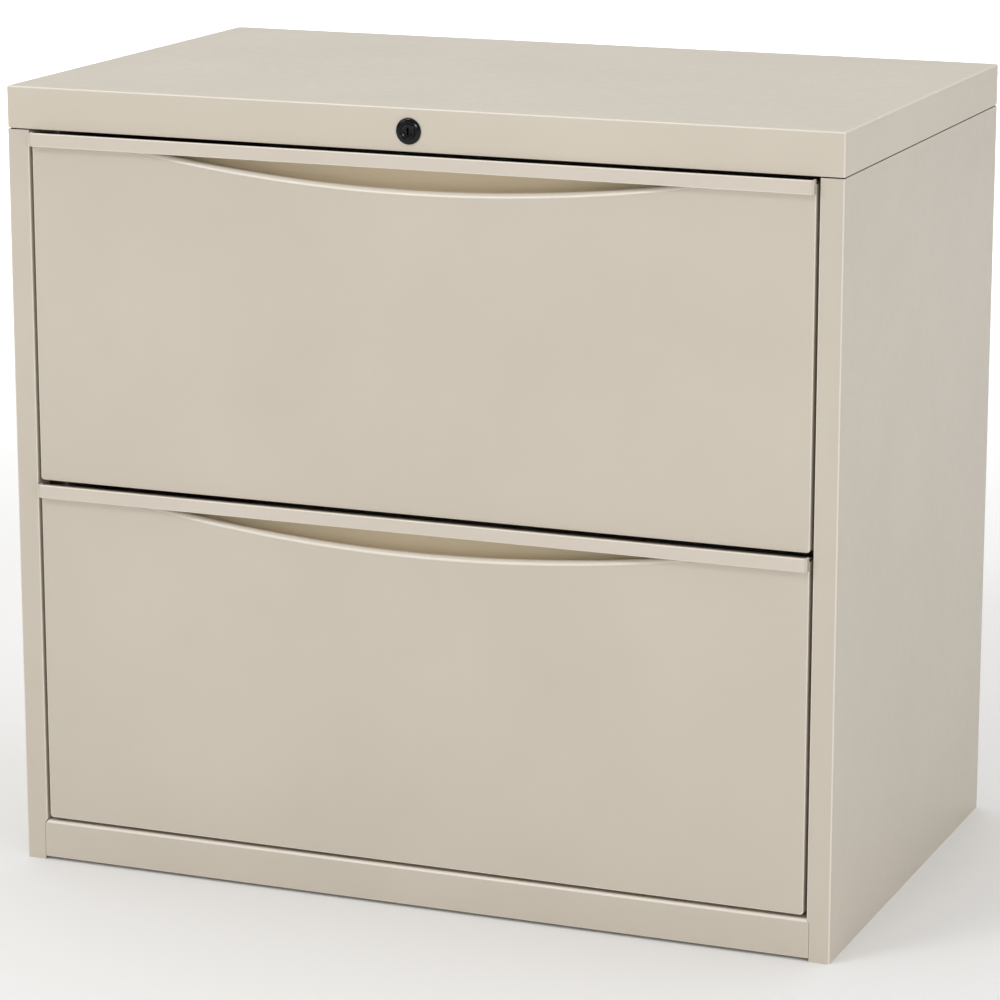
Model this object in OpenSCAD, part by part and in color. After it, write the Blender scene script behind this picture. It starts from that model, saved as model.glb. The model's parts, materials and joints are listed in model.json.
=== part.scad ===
// Two-drawer lateral filing cabinet in folded sheet steel.
// X runs across the width, the drawers open towards -Y and Z is up. The origin is on the floor,
// under the middle of the cabinet with its pulls.

/* [Case] */
// Width of the case
case_w = 762; // [700:1:900]
// Depth of the case without the pulls
case_d = 467; // [450:1:500]
// Thickness of the case sheet
sheet = 1.2; // [1:0.1:1.4]
// Height of the top cap, which is also the height of the fascia over the drawers
cap_h = 37; // [35:1:45]
// Width of each front stile
stile_w = 20.7; // [20.5:0.1:24]
// Height of the base rail's top edge over the floor
base_h = 37.5; // [37:0.5:50]
// Gap between the base rail and the floor
rail_lift = 2.8; // [2.6:0.1:4]

/* [Drawers] */
// Height of each drawer front
front_h = 311; // [300:1:340]
// Gap under each drawer front and beside it
front_gap = 3.1; // [2:0.1:3.4]
// Gap between the upper drawer and the fascia
fascia_gap = 2.3; // [2:0.1:4]
// Depth of the folded drawer front
front_d = 18.2; // [16:0.1:19]
// Height of the pull strip
pull_h = 12.3; // [10:0.1:15]
// Distance that the pull strip stands out of the drawer front
pull_proud = 6; // [5:0.5:8]
// Width of the finger recess where it meets the pull strip
recess_w = 472; // [300:2:600]
// Depth of the finger recess's arc below the pull strip, at its middle
recess_sag = 18.3; // [14:0.1:24]
// Travel of a drawer
travel = 400; // [300:10:400]

/* [Lock] */
// Diameter of the lock's bezel
bezel_d = 22.6; // [21:0.1:26]
// Distance that the domed bezel stands out of the fascia
bezel_proud = 3.4; // [2:0.1:5]
// Diameter of the lock's barrel
barrel_d = 18.8; // [17:0.1:19]
// Diameter of the lock's plug
plug_d = 13; // [12:0.1:14]

/* [Glides] */
// Diameter of the foot pad of a glide
pad_d = 28; // [20:1:30]
// Diameter of a glide's stud
stud_d = 9.5; // [8:0.1:10]

/* [Hidden] */
eps = 0.1;
half_w = case_w / 2;
y_front = -(case_d - pull_proud) / 2;
y_back = y_front + case_d;
y_pull = y_front - pull_proud;

// Heights of the two drawer fronts and of the top cap
lower_z = base_h + front_gap;
upper_z = lower_z + front_h + front_gap;
cap_z = upper_z + front_h + fascia_gap;
case_h = cap_z + cap_h;

// The opening between the stiles and the parts beside it
opening = half_w - stile_w;
stile_return = 22;
rail_half = opening + 2.2;
seam = 0.1;
inner_half = half_w - sheet;
tuck_half = inner_half - seam - sheet;
pan_z = 30;
foot_flange = 20;

// Slide posts, with the slides on their inner faces
post_t = 1.5;
post_w = 40;
slide_x = opening - 0.3;
post_top = cap_z - 3;
front_post_y = y_front + 55.5;
rear_post_y = y_back - 86.5;

// Telescopic slide, as u from its back plate towards the drawer and v from its middle height
member_t = 1.5;
outer_v = 22.85;
middle_v = 17;
inner_v = 11.3;
outer_depth = 10;
middle_u = [3, 11];
inner_u = [6, 12.7];
slide_d = inner_u[1];
slide_rise = 110;
slide_front = y_front + 25.5;
slide_back = slide_front + case_d - 57;
cabinet_slide_back = slide_back + 7;
ball_d = 4.76;
groove_d = 4.9;
outer_ball = [7, 19.175];
inner_ball = [7.4, 13.4];
cage_t = 0.7;
cage_front = slide_front + 105;
cage_len = 150;
cage_balls = 6;
ball_pitch = cage_len / cage_balls;
pocket_d = 4.92;
rivet_d = 5;

// Drawer box
tray_t = 1;
tray_half = slide_x - slide_d;
tray_front = y_front + front_d + tray_t;
tray_back = slide_back - 16;
tray_rise = 14;
tray_wall = 262;
back_wall = 216;
rail_span = 315;
rail_t = 2;
rail_drop = 14;
front_half = opening - front_gap;
pull_cap_t = 2;
recess_r = (pow(recess_w / 2, 2) + pow(recess_sag, 2)) / (2 * recess_sag);

// Lock and latch
lock_z = cap_z + 17.3;
bezel_rim = 1;
bezel_crown = bezel_proud - bezel_rim;
dome_r = (pow(bezel_d / 2, 2) + pow(bezel_crown, 2)) / (2 * bezel_crown);
barrel_back = y_front + 26.5;
cam_t = 2;
cam_r = 10;
pin_r = 2;
pin_orbit = 7;
pin_start = 45;
bar_y = barrel_back + cam_t + 2.8;
bar_t = 2;
bar_z = [lock_z - 1.3, lock_z + 12.7];
bar_left = -16;
bar_nose = opening - 6.3;
rod_x = [opening + 5.7, opening + 11.7];
rod_y = [bar_y - 1, bar_y + 3];
rod_bottom = 60;
latch_y = [y_front + 23, y_front + 26.5];
latch_rise = 258;
catch_y = [y_front + 29, y_front + 33];
catch_rise = 240;

// Glides
glide_x = half_w - 46;
glide_ys = [y_front + 27.5, y_back - 24.5];
glide_len = 24;

// ---- Shared shapes ----

// A block from its lowest corner to its highest
module block(low, high) {
    translate(low) cube(high - low);
}

// A profile drawn in X and Z, run along Y
module run_y(from, to) {
    translate([0, to, 0]) rotate([90, 0, 0]) linear_extrude(to - from) children();
}

// A profile drawn in Y and Z, run along X
module run_x(from, to) {
    translate([from, 0, 0]) rotate([90, 0, 90]) linear_extrude(to - from) children();
}

// A flat rectangle from its lowest corner to its highest
module strip(low, high) {
    translate(low) square(high - low);
}

// A cylinder along Y
module round_y(d, from, to, x = 0, z = 0) {
    translate([x, to, z]) rotate([90, 0, 0]) cylinder(d = d, h = to - from, $fn = 64);
}

// The left side is the right side's mirror image
module on_side(side) {
    mirror([side < 0 ? 1 : 0, 0, 0]) children();
}

// ---- Case ----

module top_cap() {
    color("#cfc6b8") difference() {
        union() {
            difference() {
                block([-half_w, y_front, cap_z], [half_w, y_back, case_h]);
                block([-inner_half, y_front + sheet, cap_z - eps],
                      [inner_half, y_back - sheet, case_h - sheet]);
            }
            block([-tuck_half + 1, y_front, cap_z], [tuck_half - 1, y_front + 14, cap_z + sheet]);
        }
        round_y(barrel_d + 0.2, y_front - eps, y_front + sheet + eps, 0, lock_z);
    }
}

// Web with its joggled top edge, front stile, stile return, rear flange and foot flange
module side_panel(side) {
    tuck_z = cap_z - sheet - 0.6;
    color("#bfb6a8") on_side(side) difference() {
        union() {
            run_y(y_front, y_back) strip([inner_half, 0], [half_w, cap_z - 0.6]);
            run_y(y_front + 4, y_back - 3) polygon([
                [half_w - eps, tuck_z], [half_w - eps, cap_z - 0.6],
                [tuck_half + sheet, cap_z - 0.6], [tuck_half + sheet, case_h - 7],
                [tuck_half, case_h - 7], [tuck_half, tuck_z]
            ]);
            block([opening, y_front, 0], [half_w, y_front + sheet, cap_z - seam]);
            block([opening, y_front, base_h + 0.5],
                  [opening + sheet, y_front + stile_return, cap_z - seam]);
            block([half_w - foot_flange, y_back - sheet, 0], [half_w, y_back, cap_z - 0.6]);
            block([half_w - foot_flange + 2, y_front, 0], [half_w, y_back, sheet]);
        }
        // The stile is cut narrower beside the base rail
        run_y(y_front - eps, y_front + sheet + eps) polygon([
            [opening - 1, -1], [rail_half + 0.2, -1], [rail_half + 0.2, base_h - 2],
            [opening, base_h + 0.5], [opening - 1, base_h + 0.5]
        ]);
    }
}

module back_panel() {
    color("#bfb6a8") block([-tuck_half + seam, y_back - 2 * sheet, 5],
                           [tuck_half - seam, y_back - sheet, case_h - 7]);
}

// Channel with deep top and bottom returns; the bottom one carries the front glides
module base_rail() {
    return_d = 44.5;
    color("#c6bbaa") difference() {
        run_x(-rail_half, rail_half) union() {
            difference() {
                union() {
                    strip([y_front, rail_lift], [y_front + sheet, base_h - 4]);
                    strip([y_front + 4, base_h - sheet], [y_front + stile_return, base_h]);
                    intersection() {
                        translate([y_front + 4, base_h - 4]) circle(r = 4, $fn = 48);
                        strip([y_front, base_h - 4], [y_front + 4, base_h]);
                    }
                }
                translate([y_front + 4, base_h - 4]) circle(r = 4 - sheet, $fn = 48);
            }
            strip([y_front, rail_lift], [y_front + return_d, rail_lift + sheet]);
        }
        for (x = [-glide_x, glide_x])
            translate([x, glide_ys[0], 0]) cylinder(d = stud_d + 1.5, h = base_h / 2, $fn = 48);
    }
}

module base_pan() {
    half = tuck_half - seam;
    low = [-half, y_front + stile_return + 1.5, pan_z];
    high = [half, y_back - 2 * sheet - seam, pan_z + sheet];
    color("#bfb6a8") {
        block(low, high);
        for (side = [-1, 1])
            on_side(side) block([half - sheet, low[1], pan_z - 11], [half, high[1], pan_z]);
    }
}

module rear_base_channel() {
    from = y_back - 46.5;
    to = y_back - 2 * sheet - seam;
    color("#bfb6a8") difference() {
        run_x(-half_w + foot_flange + 1, half_w - foot_flange - 1) {
            strip([from, rail_lift], [from + sheet, pan_z]);
            strip([from, rail_lift], [to, rail_lift + sheet]);
            strip([from, pan_z - sheet], [to, pan_z]);
        }
        for (x = [-glide_x, glide_x])
            translate([x, glide_ys[1], 0]) cylinder(d = stud_d + 1.5, h = pan_z / 2, $fn = 48);
    }
}

// Ballast bar that keeps the cabinet from tipping when a drawer is open
module counterweight() {
    color("#4b4a48") block([-half_w + 81, y_back - 176.5, pan_z + sheet],
                           [half_w - 81, y_back - 46.5, pan_z + sheet + 16]);
}

// Upright channel that the cabinet members of the slides are riveted to
module slide_post(side, y, rivet_y) {
    color("#b9b1a4") on_side(side) difference() {
        linear_extrude(post_top - pan_z - sheet) {
            strip([slide_x, y], [slide_x + post_t, y + post_w]);
            strip([slide_x, y], [inner_half, y + post_t]);
            strip([slide_x, y + post_w - post_t], [inner_half, y + post_w]);
        }
        for (z = [lower_z, upper_z]) rivet_holes(rivet_y, z - pan_z - sheet);
    }
}

module raised_post(side, y, rivet_y) {
    translate([0, 0, pan_z + sheet]) slide_post(side, y, rivet_y);
}

// The two rivet holes of one slide in one post
module rivet_holes(y, z) {
    for (v = [-7, 7])
        translate([slide_x - member_t - eps, y, z + slide_rise + v])
            rotate([0, 90, 0]) cylinder(d = rivet_d + 0.1, h = member_t + post_t + 2 * eps, $fn = 32);
}

module slide_rivets() {
    color("#9a9c9e")
        for (side = [-1, 1], z = [lower_z, upper_z], y = [front_post_y, rear_post_y], v = [-7, 7])
            on_side(side) translate([slide_x - member_t, y + post_w / 2, z + slide_rise + v])
                rotate([0, 90, 0]) {
                    cylinder(d = rivet_d, h = member_t + post_t, $fn = 32);
                    translate([0, 0, member_t + post_t]) cylinder(d = rivet_d + 3, h = 1.2, $fn = 32);
                }
}

module top_front_channel() {
    web_y = y_front + 40.5;
    color("#b9b1a4") run_x(-tuck_half + 1, tuck_half - 1) {
        strip([web_y, cap_z + 4], [web_y + sheet, case_h - sheet]);
        strip([web_y, case_h - 2 * sheet], [web_y + 30, case_h - sheet]);
        strip([web_y, cap_z + 4], [web_y + 20, cap_z + 4 + sheet]);
    }
}

// ---- Lock ----

module lock_housing() {
    color("#16161a") translate([0, 0, lock_z]) rotate([90, 0, 0]) rotate_extrude($fn = 64)
        difference() {
            union() {
                strip([0, -barrel_back], [barrel_d / 2, -y_front]);
                strip([0, -y_front], [bezel_d / 2, -y_front + bezel_rim]);
                intersection() {
                    translate([0, -y_front + bezel_proud - dome_r]) circle(r = dome_r, $fn = 180);
                    strip([0, -y_front + bezel_rim - eps], [bezel_d / 2, -y_front + bezel_proud]);
                }
            }
            strip([-1, -barrel_back - 1], [plug_d / 2 + 0.06, -y_front + 12]);
        }
}

module lock_nut() {
    color("#9a9c9e") difference() {
        translate([0, y_front + sheet + 4, lock_z]) rotate([90, 0, 0]) cylinder(r = 14, h = 4, $fn = 6);
        round_y(barrel_d + 0.1, y_front, y_front + sheet + 5, 0, lock_z);
    }
}

// Plug with its keyway; the cam is fixed on the plug's back end
module lock_plug() {
    color("#1c1c20") difference() {
        round_y(plug_d, y_front - 2.8, barrel_back, 0, lock_z);
        block([-1, y_front - 4, lock_z - 3.6], [1, y_front + 12, lock_z + 3.6]);
    }
}

module lock_cam() {
    color("#9a9c9e") {
        round_y(2 * cam_r, barrel_back, barrel_back + cam_t, 0, lock_z);
        translate([0, 0, lock_z]) rotate([0, -pin_start, 0])
            round_y(2 * pin_r, barrel_back + cam_t - eps, bar_y + bar_t + 1, 0, pin_orbit);
    }
}

// Flat bar that the cam's pin slides sideways; its sloped nose pushes the latch rod down
module lock_bar() {
    pin_x = -pin_orbit * sin(pin_start);
    slot_half = pin_r + 0.45;
    color("#a3a5a6") difference() {
        run_y(bar_y, bar_y + bar_t) difference() {
            polygon([
                [bar_left, bar_z[0]], [bar_nose, bar_z[0]],
                [bar_nose + bar_z[1] - bar_z[0], bar_z[1]], [bar_left, bar_z[1]]
            ]);
            strip([pin_x - slot_half, lock_z + 1.8], [pin_x + slot_half, lock_z + 10]);
        }
    }
}

module lock_bar_guides() {
    web_y = y_front + 40.5;
    color("#a3a5a6")
        for (x = [60, opening - 60])
            run_x(x, x + 18) {
                strip([bar_y - 1.8, bar_z[0] - 1.7], [web_y, bar_z[0] - 0.5]);
                strip([bar_y - 1.8, bar_z[1] + 0.5], [web_y, bar_z[1] + 1.7]);
                strip([bar_y - 1.8, bar_z[0] - 1.7], [bar_y - 0.6, bar_z[1] + 1.7]);
            }
}

// Upright rod with one latch tab for each drawer
module latch_rod() {
    slope = rod_x[1] - rod_x[0];
    top = bar_z[0] + rod_x[0] - bar_nose - 1;
    color("#a3a5a6") {
        run_y(rod_y[0], rod_y[1]) polygon([
            [rod_x[0], rod_bottom], [rod_x[1], rod_bottom],
            [rod_x[1], top + slope], [rod_x[0], top]
        ]);
        for (z = [lower_z, upper_z]) {
            block([tray_half + 1.7, latch_y[0], z + latch_rise],
                  [rod_x[1], latch_y[1], z + latch_rise + 12]);
            block([rod_x[0], latch_y[1] - eps, z + latch_rise],
                  [rod_x[1], rod_y[1], z + latch_rise + 12]);
        }
    }
}

// Brackets on the side panel that the latch rod slides in
module latch_guides() {
    color("#a3a5a6")
        for (z = [90, upper_z - 15, cap_z - 110]) difference() {
            block([rod_x[0] - 3, rod_y[0] - 3, z], [inner_half, rod_y[1] + 3, z + 8]);
            block([rod_x[0] - 0.6, rod_y[0] - 0.6, z - eps],
                  [rod_x[1] + 0.6, rod_y[1] + 0.6, z + 8 + eps]);
        }
}

// ---- Glides ----

module glide_nuts() {
    color("#9a9c9e")
        for (x = [-glide_x, glide_x], y = glide_ys)
            translate([x, y, rail_lift + sheet]) difference() {
                translate([-15, -15, 0]) cube([30, 30, 6]);
                translate([0, 0, -eps]) cylinder(d = stud_d + 0.14, h = 6 + 2 * eps, $fn = 48);
            }
}

module glide(side, y) {
    color("#8f9193") translate([side * glide_x, y, 0.4]) difference() {
        union() {
            cylinder(d = pad_d - 3, h = 1, $fn = 48);
            translate([0, 0, 0.6]) cylinder(d = pad_d, h = 1.2, $fn = 48);
            cylinder(d = stud_d, h = glide_len, $fn = 48);
        }
        translate([-stud_d / 2 - 1, -0.75, glide_len - 2.5]) cube([stud_d + 2, 1.5, 3]);
    }
}

// ---- Slides ----

// Half of a folded channel: back plate at u = back, flange at v from v - member_t to v
module channel_half(back, flange_u, v) {
    strip([back, -eps], [back + member_t, v]);
    strip([flange_u[0], v - member_t], [flange_u[1], v]);
}

// Puts a profile in u and v on the right-hand slide plane at its height
module slide_run(side, z, from, to) {
    on_side(side) translate([slide_x, 0, z + slide_rise]) mirror([1, 0, 0])
        run_y(from, to) for (half = [0, 1]) mirror([0, half]) children();
}

module groove(ball) {
    translate(ball) circle(d = groove_d, $fn = 48);
}

module cabinet_slide(side, z) {
    color("#aeb0b1") difference() {
        slide_run(side, z, slide_front, cabinet_slide_back) difference() {
            channel_half(0, [0, outer_depth], outer_v);
            groove(outer_ball);
        }
        on_side(side)
            for (y = [front_post_y, rear_post_y]) rivet_holes(y + post_w / 2, z);
    }
}

module middle_slide(side, z) {
    color("#b4b6b7") slide_run(side, z, slide_front, slide_back) difference() {
        channel_half(middle_u[0], middle_u, middle_v);
        groove(outer_ball);
        groove(inner_ball);
    }
}

module drawer_slide(side, z) {
    color("#b4b6b7") slide_run(side, z, slide_front, slide_back) difference() {
        channel_half(slide_d - member_t, inner_u, inner_v);
        groove(inner_ball);
    }
}

// A pair of cages, left and right, each with its two rows of balls
module ball_cages(z, ball, web_u, flange_u) {
    for (side = [-1, 1]) {
        color("#3c3d40") difference() {
            slide_run(side, z, cage_front, cage_front + cage_len) {
                strip([web_u, -eps], [web_u + cage_t, ball[1] + cage_t / 2]);
                strip([web_u, ball[1] - cage_t / 2], [flange_u, ball[1] + cage_t / 2]);
            }
            on_side(side) for (i = [0:cage_balls - 1], v = [-ball[1], ball[1]])
                translate([slide_x - ball[0], cage_front + (i + 0.5) * ball_pitch, z + slide_rise + v])
                    cylinder(d = pocket_d, h = groove_d + 0.4, center = true, $fn = 32);
        }
        color("#d5d7d8") on_side(side)
            for (i = [0:cage_balls - 1], v = [-ball[1], ball[1]])
                translate([slide_x - ball[0], cage_front + (i + 0.5) * ball_pitch, z + slide_rise + v])
                    sphere(d = ball_d, $fn = 32);
    }
}

module outer_ball_cages(z) {
    ball_cages(z, outer_ball, 1.9, 9.6);
}

module inner_ball_cages(z) {
    ball_cages(z, inner_ball, 4.85, 9.9);
}

// Rubber stops that the closed slides come to rest against
module slide_bumpers() {
    color("#2a2a2a")
        for (side = [-1, 1], z = [lower_z, upper_z])
            slide_run(side, z, slide_back + 0.5, cabinet_slide_back)
                strip([member_t, -eps], [11, 14]);
}

// ---- Drawers ----

// Outline of the finger recess: everything above its arc, up to the pull's top flange
module recess_shape(z, grow) {
    top = z + front_h - sheet;
    half = recess_w / 2 + 4 + grow;
    intersection() {
        translate([0, z + front_h - pull_h - recess_sag + recess_r])
            circle(r = recess_r + grow, $fn = 720);
        strip([-half, top - 60], [half, top]);
    }
}

// Folded pan with the recess's arc cut out of its face and a pocket behind the arc
module drawer_front(z) {
    back = y_front + front_d;
    top = z + front_h - sheet;
    color("#cfc5b5") {
        run_y(y_front, y_front + sheet) difference() {
            strip([-front_half, z], [front_half, top]);
            recess_shape(z, 0);
        }
        run_y(y_front + sheet - eps, back) {
            strip([-front_half, z], [-front_half + sheet, top]);
            strip([front_half - sheet, z], [front_half, top]);
            strip([-front_half, z], [front_half, z + sheet]);
            difference() {
                recess_shape(z, sheet);
                recess_shape(z, 0);
            }
        }
        run_y(back - sheet, back) recess_shape(z, sheet);
    }
}

module pull(z) {
    top = z + front_h;
    half = front_half - pull_cap_t;
    color("#d6ccbd") run_x(-half, half) {
        strip([y_pull, top - pull_h], [y_pull + sheet, top]);
        strip([y_pull, top - sheet], [y_front + front_d, top]);
        strip([y_pull, top - pull_h], [y_front, top - pull_h + sheet]);
    }
}

module pull_end_caps(z) {
    top = z + front_h;
    half = front_half - pull_cap_t;
    color("#cfc5b5") for (side = [-1, 1]) on_side(side) {
        block([half, y_pull, top - pull_h], [front_half, y_front, top]);
        block([half - 8, y_pull + sheet, top - pull_h + sheet], [half + eps, y_front, top - sheet]);
    }
}

module inner_front(z) {
    color("#c6bbaa") block([-tray_half, tray_front - tray_t, z + 6],
                           [tray_half, tray_front, z + front_h - 15]);
}

// Bottom and both sides folded from one sheet
module tray(z) {
    low = z + tray_rise;
    color("#c6bbaa") run_y(tray_front, tray_back) {
        strip([-tray_half, low], [tray_half, low + tray_t]);
        for (side = [0, 1]) mirror([side, 0]) {
            strip([tray_half - tray_t, low], [tray_half, low + tray_wall]);
            strip([tray_half - 7, low + tray_wall - tray_t], [tray_half, low + tray_wall]);
        }
    }
}

module tray_back(z) {
    low = z + tray_rise;
    color("#c6bbaa") {
        block([-tray_half, tray_back, low], [tray_half, tray_back + tray_t, low + back_wall]);
        block([-tray_half + 8, tray_back - 6, low + back_wall - tray_t],
              [tray_half - 8, tray_back + tray_t, low + back_wall]);
    }
}

// Two bars that hanging folders ride on, held just inside the tray's sides
module hang_rails(z) {
    top = z + tray_rise + tray_wall - tray_t;
    first = tray_front + 8;
    color("#b9bbbc") for (y = [first, first + rail_span])
        run_x(-tray_half + tray_t, tray_half - tray_t) {
            strip([y, top - rail_drop], [y + rail_t, top]);
            strip([y, top - rail_drop], [y + 7, top - rail_drop + rail_t]);
        }
}

// Steel angle that the latch tab drops in front of when the cabinet is locked
module catch(z) {
    color("#a3a5a6") {
        block([tray_half, catch_y[0], z + catch_rise], [slide_x - 1.5, catch_y[1], z + catch_rise + 16]);
        block([tray_half, catch_y[0], z + catch_rise], [tray_half + 1.5, catch_y[1] + 18, z + catch_rise + 16]);
    }
}

// ---- Nodes ----

top_cap();
side_panel(-1);  // left_side_panel
side_panel(1);  // right_side_panel
back_panel();
base_rail();
base_pan();
rear_base_channel();
counterweight();
raised_post(-1, front_post_y, front_post_y + post_w / 2);  // left_front_post
raised_post(1, front_post_y, front_post_y + post_w / 2);  // right_front_post
raised_post(-1, rear_post_y, rear_post_y + post_w / 2);  // left_rear_post
raised_post(1, rear_post_y, rear_post_y + post_w / 2);  // right_rear_post
top_front_channel();
lock_housing();
lock_nut();
lock_plug();
lock_cam();
lock_bar();
lock_bar_guides();
latch_rod();
latch_guides();
glide_nuts();
glide(-1, glide_ys[0]);  // left_front_glide
glide(1, glide_ys[0]);  // right_front_glide
glide(-1, glide_ys[1]);  // left_rear_glide
glide(1, glide_ys[1]);  // right_rear_glide
slide_rivets();
slide_bumpers();
cabinet_slide(-1, upper_z);  // upper_left_cabinet_slide
cabinet_slide(1, upper_z);  // upper_right_cabinet_slide
cabinet_slide(-1, lower_z);  // lower_left_cabinet_slide
cabinet_slide(1, lower_z);  // lower_right_cabinet_slide
middle_slide(-1, upper_z);  // upper_left_middle_slide
middle_slide(1, upper_z);  // upper_right_middle_slide
middle_slide(-1, lower_z);  // lower_left_middle_slide
middle_slide(1, lower_z);  // lower_right_middle_slide
outer_ball_cages(upper_z);  // upper_outer_ball_cages
inner_ball_cages(upper_z);  // upper_inner_ball_cages
outer_ball_cages(lower_z);  // lower_outer_ball_cages
inner_ball_cages(lower_z);  // lower_inner_ball_cages
drawer_slide(-1, upper_z);  // upper_left_drawer_slide
drawer_slide(1, upper_z);  // upper_right_drawer_slide
drawer_slide(-1, lower_z);  // lower_left_drawer_slide
drawer_slide(1, lower_z);  // lower_right_drawer_slide
drawer_front(upper_z);  // upper_drawer_front
pull(upper_z);  // upper_pull
pull_end_caps(upper_z);  // upper_pull_end_caps
inner_front(upper_z);  // upper_inner_front
tray(upper_z);  // upper_tray
tray_back(upper_z);  // upper_tray_back
hang_rails(upper_z);  // upper_hang_rails
catch(upper_z);  // upper_catch
drawer_front(lower_z);  // lower_drawer_front
pull(lower_z);  // lower_pull
pull_end_caps(lower_z);  // lower_pull_end_caps
inner_front(lower_z);  // lower_inner_front
tray(lower_z);  // lower_tray
tray_back(lower_z);  // lower_tray_back
hang_rails(lower_z);  // lower_hang_rails
catch(lower_z);  // lower_catch
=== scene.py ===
import json
import math

import bmesh
import bpy
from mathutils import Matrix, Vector


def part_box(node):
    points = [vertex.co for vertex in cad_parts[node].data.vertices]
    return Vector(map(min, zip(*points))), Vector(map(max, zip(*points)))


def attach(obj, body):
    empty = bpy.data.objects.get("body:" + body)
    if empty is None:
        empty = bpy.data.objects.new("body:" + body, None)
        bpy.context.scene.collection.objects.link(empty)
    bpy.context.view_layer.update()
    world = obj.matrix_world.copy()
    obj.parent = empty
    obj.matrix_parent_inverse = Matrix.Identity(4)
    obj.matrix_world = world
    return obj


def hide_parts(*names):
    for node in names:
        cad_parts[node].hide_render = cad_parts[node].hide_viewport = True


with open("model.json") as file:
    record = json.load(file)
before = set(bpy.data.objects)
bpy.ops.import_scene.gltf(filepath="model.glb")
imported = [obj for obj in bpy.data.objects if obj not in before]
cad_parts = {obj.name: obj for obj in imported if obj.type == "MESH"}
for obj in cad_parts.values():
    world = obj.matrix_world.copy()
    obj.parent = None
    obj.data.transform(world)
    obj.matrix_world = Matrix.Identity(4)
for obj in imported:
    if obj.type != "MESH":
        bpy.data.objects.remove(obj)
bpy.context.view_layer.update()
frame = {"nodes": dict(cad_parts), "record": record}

# Two-drawer lateral filing cabinet in powder-coated sheet steel. Everything is in metres in the
# frame's own axes: the drawers open towards -Y, Z is up and the floor is at zero.

MM = 0.001
QUARTER = math.pi / 2

# ---- Sizes that the folded steel pieces share, from the frame ----

cap_low, cap_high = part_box("top_cap")
rail_low, rail_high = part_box("base_rail")
half_width = cap_high.x
case_front = cap_low.y
case_back = cap_high.y
stile_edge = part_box("right_side_panel")[0].x
pull_low, pull_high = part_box("upper_pull")
pull_height = pull_high.z - pull_low.z

CASE_SHEET = 1.2 * MM
TRAY_SHEET = 1.0 * MM
CUT_EDGE = 0.22 * MM

# Height of the open joint between the cap and the side panels
SEAM = 1.1 * MM

# Outside bend radii
CAP_BEND = 1.7 * MM
SIDE_BEND = 1.6 * MM
STILE_BEND = 1.3 * MM
RAIL_ROLL = 3.6 * MM
FRONT_BEND = 1.4 * MM
FRONT_CORNER = 3 * MM
STRIP_TOP_BEND = 1.8 * MM
STRIP_FOOT_BEND = 1.2 * MM
TRAY_BEND = 1.5 * MM

# Folded flanges: the fascia's foot, the stile's return and the side's rear and foot flanges
FASCIA_RETURN = 14 * MM
STILE_RETURN = 22 * MM
REAR_FLANGE = 20 * MM
FOOT_FLANGE = 18.7 * MM

# The base rail's upper return, and its lower one, which carries the front glides
RAIL_RETURN = 22 * MM
RAIL_FOOT = 44.5 * MM

# Spot welds down each side of the back
WELD_RADIUS = 2.6 * MM
WELD_PITCH = 86 * MM
WELD_ROWS = 8

# Lock barrel, and the hole that the fascia has for it
BARREL_RADIUS = 9.35 * MM
LOCK_HOLE_RADIUS = 9.5 * MM

# Arched finger recess under each pull strip, and where its rolled lip ends behind the strip
RECESS_WIDTH = 472 * MM
RECESS_SAG = 18.3 * MM
RECESS_RADIUS = ((RECESS_WIDTH / 2) ** 2 + RECESS_SAG ** 2) / (2 * RECESS_SAG)
RECESS_END = 278 * MM
LIP_RADIUS = 6 * MM

# How far the strip's top flange slopes down towards its back edge, and how far below the
# strip's top the front's own top edge stops, so it stays under that slope
STRIP_FALL = 4.5 * MM
FRONT_TUCK = 2.9 * MM


# ---- Bench work: selecting, folding and finishing ----

def clear_selection():
    """Leaves edit mode and deselects every object, the CAD nodes among them."""
    if bpy.context.object and bpy.context.object.mode == "EDIT":
        bpy.ops.object.mode_set(mode="OBJECT")
    bpy.ops.object.select_all(action="DESELECT")


def take(piece):
    """Makes the piece the only selected object, in object mode."""
    clear_selection()
    bpy.context.view_layer.objects.active = piece
    piece.select_set(True)


def edit(piece):
    """Opens the piece alone in edit mode."""
    take(piece)
    bpy.ops.object.mode_set(mode="EDIT")


def settle_place(piece, name):
    """Puts the new primitive's place into its mesh, so its object sits at the origin."""
    bpy.ops.object.transform_apply(location=True, rotation=True, scale=True)
    piece.name = name
    piece.data.name = name
    return piece


def near(a, b, slack=0.05 * MM):
    """Whether two lengths are the same, but for rounding."""
    return abs(a - b) < slack


def pick(kind, test):
    """Selects the vertices, edges or faces whose middle point passes the test."""
    piece = bpy.context.edit_object
    bpy.ops.mesh.select_mode(type=kind)
    bpy.ops.mesh.select_all(action="DESELECT")
    mesh = bmesh.from_edit_mesh(piece.data)
    found = 0
    for item in {"VERT": mesh.verts, "EDGE": mesh.edges, "FACE": mesh.faces}[kind]:
        corners = [item] if kind == "VERT" else item.verts
        middle = sum((corner.co for corner in corners), Vector()) / len(corners)
        if test(middle):
            item.select_set(True)
            found += 1
    bmesh.update_edit_mesh(piece.data)
    if not found:
        raise ValueError(f"nothing to select on {piece.name}")


def extend(move):
    """Extrudes the selected edges, as a press brake folds up the next flange."""
    bpy.ops.mesh.extrude_region_move(TRANSFORM_OT_translate={"value": move})


def flange(test, move):
    """Picks the edges to fold at and draws the flange out of them."""
    pick("EDGE", test)
    extend(move)


def cut_line(place, normal):
    """Scores the whole sheet with a straight line, where a flange is to start or stop."""
    bpy.ops.mesh.select_all(action="SELECT")
    bpy.ops.mesh.bisect(plane_co=place, plane_no=normal)


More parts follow.
